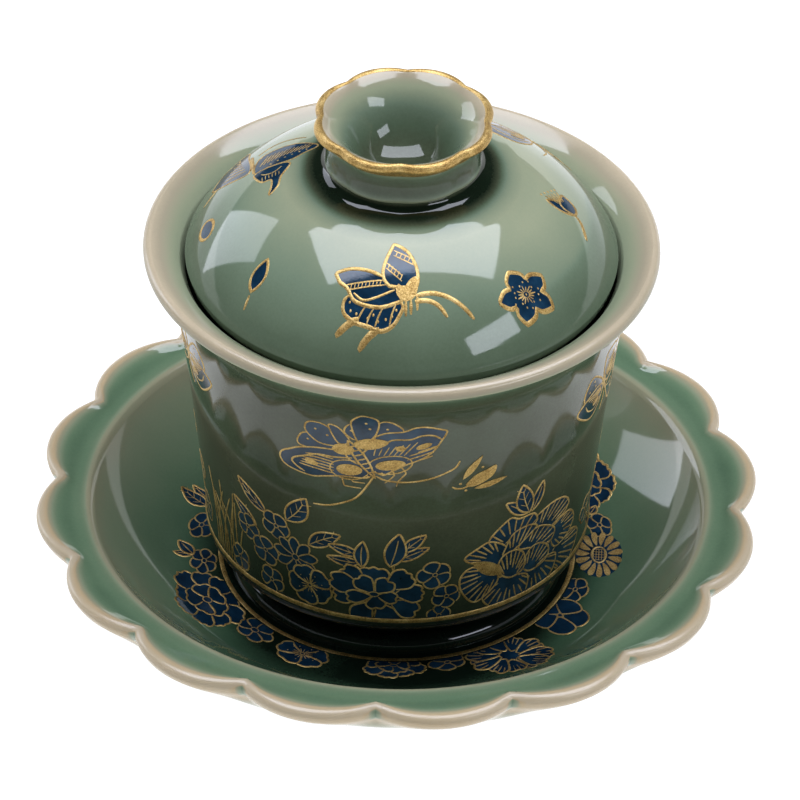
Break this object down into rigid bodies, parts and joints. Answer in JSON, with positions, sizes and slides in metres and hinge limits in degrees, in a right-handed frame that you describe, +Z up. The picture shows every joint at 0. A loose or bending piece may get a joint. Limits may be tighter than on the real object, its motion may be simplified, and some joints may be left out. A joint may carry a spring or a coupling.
{
  "type": "gaiwan",
  "caption": "Lidded tea bowl with flared lip, domed lid with cup-shaped scalloped knob, and deep scalloped saucer; each piece lifts off.",
  "frame": {"origin": "centre of the saucer's foot ring, on the surface that the saucer stands on", "axes": "+Z up along the common axis of saucer, bowl and lid; one notch of the saucer's scalloped edge points along -Y"},
  "size_m": [0.1346, 0.1346, 0.1074],
  "materials": {
    "celadon_glaze": "gloss",
    "saucer_glaze": "gloss",
    "bare_foot": "matte",
    "cobalt_enamel": "satin",
    "fired_gold": "satin"
  },
  "bodies": {
    "saucer": {"saucer": "saucer_glaze"},
    "bowl": {"bowl": "celadon_glaze"},
    "lid": {"lid": "celadon_glaze", "lid_knob": "celadon_glaze"}
  },
  "joints": [
    {"name": "bowl_lift", "type": "slide", "parent": "saucer", "child": "bowl", "axis": [0, 0, 1], "range_m": [0, 0.08]},
    {"name": "lid_lift", "type": "slide", "parent": "bowl", "child": "lid", "axis": [0, 0, 1], "range_m": [0, 0.06]}
  ]
}
